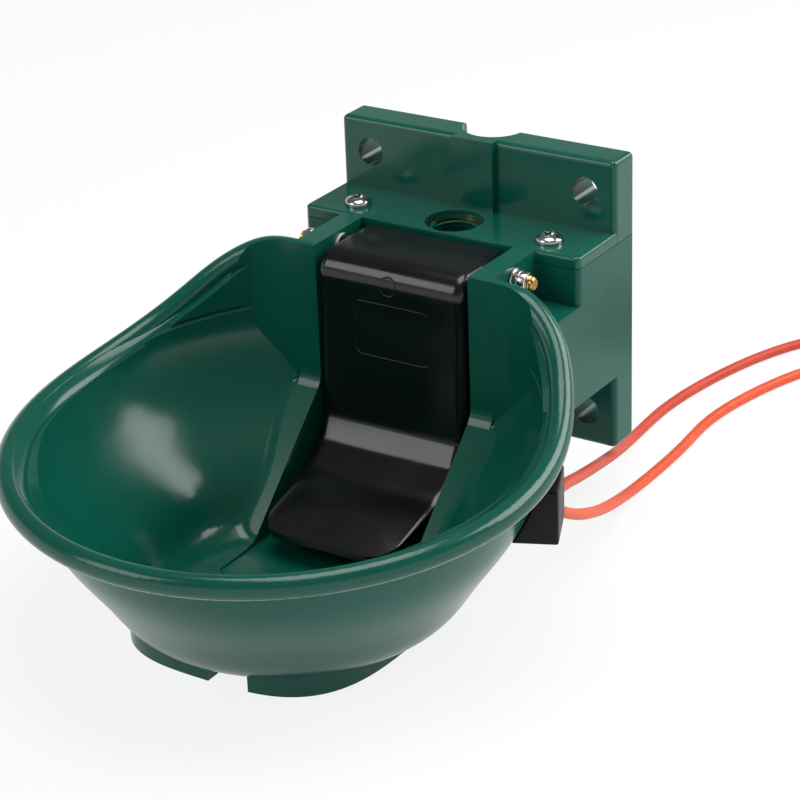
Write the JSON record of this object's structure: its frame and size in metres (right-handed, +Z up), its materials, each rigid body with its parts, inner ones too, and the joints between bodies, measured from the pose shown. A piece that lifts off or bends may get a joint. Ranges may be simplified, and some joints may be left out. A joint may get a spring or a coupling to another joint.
{
  "type": "livestock drinking bowl",
  "caption": "Wall-mounted drinking bowl with a press tongue that opens a spring valve, a double-walled heated bowl and its free cables.",
  "frame": {"origin": "centre of the four wall holes, on the wall plane", "axes": "+X to the right as seen from the animal's side, -Y from the wall towards the animal, +Z up"},
  "size_m": [0.3043, 0.583, 0.1615],
  "materials": {
    "bowl_green": "moulded green plastic, gently glossy",
    "housing_green": "moulded green plastic, satin",
    "tongue_black": "glossy black moulded plastic",
    "valve_brass": "turned brass",
    "pin_brass": "turned brass",
    "nickel_nut": "nickel plated, polished",
    "screw_steel": "polished stainless steel",
    "spring_steel": "stainless steel",
    "seal_rubber": "black rubber",
    "seat_plastic": "natural acetal",
    "spacer_nylon": "natural nylon",
    "heater_sheath": "silicone sheath",
    "gland_black": "black moulded plastic",
    "feed_sheath": "orange-red cable sheath",
    "trace_sheath": "orange cable sheath",
    "tie_black": "black nylon",
    "ferrule_tin": "tinned copper"
  },
  "bodies": {
    "housing": {"bowl_insert": "bowl_green", "outer_housing": "housing_green", "valve_body": "valve_brass", "branch_washer": "seal_rubber", "branch_nut": "valve_brass", "valve_seat": "seat_plastic", "drain_washer": "seal_rubber", "drain_plug": "valve_brass", "hinge_pin": "pin_brass", "left_collar_nut": "nickel_nut", "right_collar_nut": "nickel_nut", "hinge_spacers": "spacer_nylon", "deck_screws": "screw_steel", "screw_sleeves": "pin_brass", "heating_wire": "heater_sheath", "cable_gland": "gland_black", "feed_cable": "feed_sheath", "feed_coil": "feed_sheath", "feed_coil_ties": "tie_black", "feed_tail": "feed_sheath", "feed_ferrules": "ferrule_tin", "trace_cable": "trace_sheath", "trace_coil": "trace_sheath", "trace_coil_ties": "tie_black", "trace_tail": "trace_sheath", "trace_cap": "gland_black", "valve_spring": "spring_steel"},
    "tongue": {"tongue": "tongue_black"},
    "plunger": {"valve_plunger": "spring_steel", "valve_seal": "seal_rubber"}
  },
  "joints": [
    {"name": "tongue_hinge", "type": "hinge", "parent": "housing", "child": "tongue", "pos_m": [0, -0.068, 0.028], "axis": [1, 0, 0], "range_deg": [0, 5], "stiffness_Nm_per_rad": 0.5, "springref_deg": -17.19},
    {"name": "plunger_slide", "type": "slide", "parent": "housing", "child": "plunger", "axis": [0, 1, 0], "range_m": [0, 0.0033], "deforming": ["valve_spring"]}
  ],
  "couplings": [
    {"joint": "plunger_slide", "follows": "tongue_hinge", "m_per_rad": 0.036}
  ]
}
